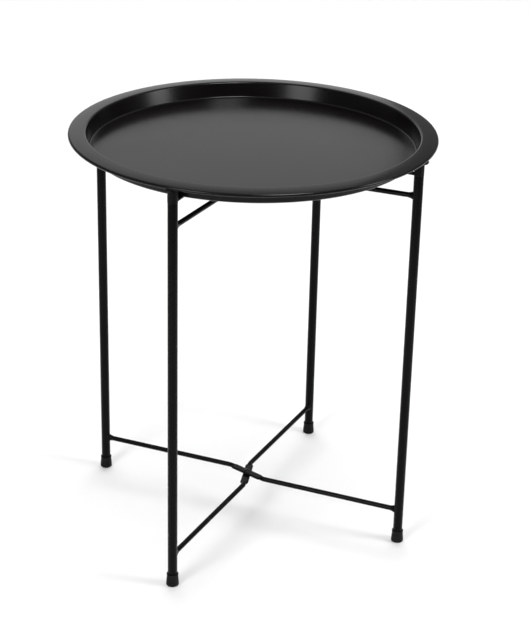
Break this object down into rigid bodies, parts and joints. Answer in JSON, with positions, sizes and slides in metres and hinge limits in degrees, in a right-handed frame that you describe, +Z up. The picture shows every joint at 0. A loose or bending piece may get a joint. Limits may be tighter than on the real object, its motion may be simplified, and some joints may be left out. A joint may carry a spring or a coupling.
{
  "type": "folding side table",
  "caption": "Round lift-off metal tray on a folding frame of thin upright tubes and crossing rods, with rubber feet.",
  "frame": {"origin": "on the floor, under the middle of the tray", "axes": "+Z up; the legs stand on the diagonals between +X and +Y"},
  "size_m": [0.46, 0.46, 0.5349],
  "materials": {
    "tray_steel": "satin black powder coat",
    "frame_steel": "satin black powder coat",
    "pivot_steel": "satin black powder coat over the rivets",
    "foot_rubber": "matt black",
    "cap_plastic": "matt black, moulded"
  },
  "bodies": {
    "main_frame": {"main_first_leg": "frame_steel", "main_first_foot": "foot_rubber", "main_first_leg_cap": "cap_plastic", "main_second_leg": "frame_steel", "main_second_foot": "foot_rubber", "main_second_leg_cap": "cap_plastic", "main_lower_cross_rod": "frame_steel", "main_upper_cross_rod": "frame_steel", "main_rod_welds": "frame_steel", "lower_pivot_rivet": "pivot_steel", "lower_pivot_washer": "pivot_steel", "upper_pivot_rivet": "pivot_steel", "upper_pivot_washer": "pivot_steel"},
    "swing_frame": {"swing_first_leg": "frame_steel", "swing_first_foot": "foot_rubber", "swing_first_leg_cap": "cap_plastic", "swing_second_leg": "frame_steel", "swing_second_foot": "foot_rubber", "swing_second_leg_cap": "cap_plastic", "swing_lower_cross_rod": "frame_steel", "swing_upper_cross_rod": "frame_steel", "swing_rod_welds": "frame_steel"},
    "tray": {"tray": "tray_steel"}
  },
  "joints": [
    {"name": "frame_fold", "type": "hinge", "parent": "main_frame", "child": "swing_frame", "pos_m": [0, 0, 0.0445], "axis": [0, 0, -1], "range_deg": [0, 85]},
    {"name": "tray_lift", "type": "slide", "parent": "main_frame", "child": "tray", "axis": [0, 0, 1], "range_m": [0, 0.12]}
  ]
}
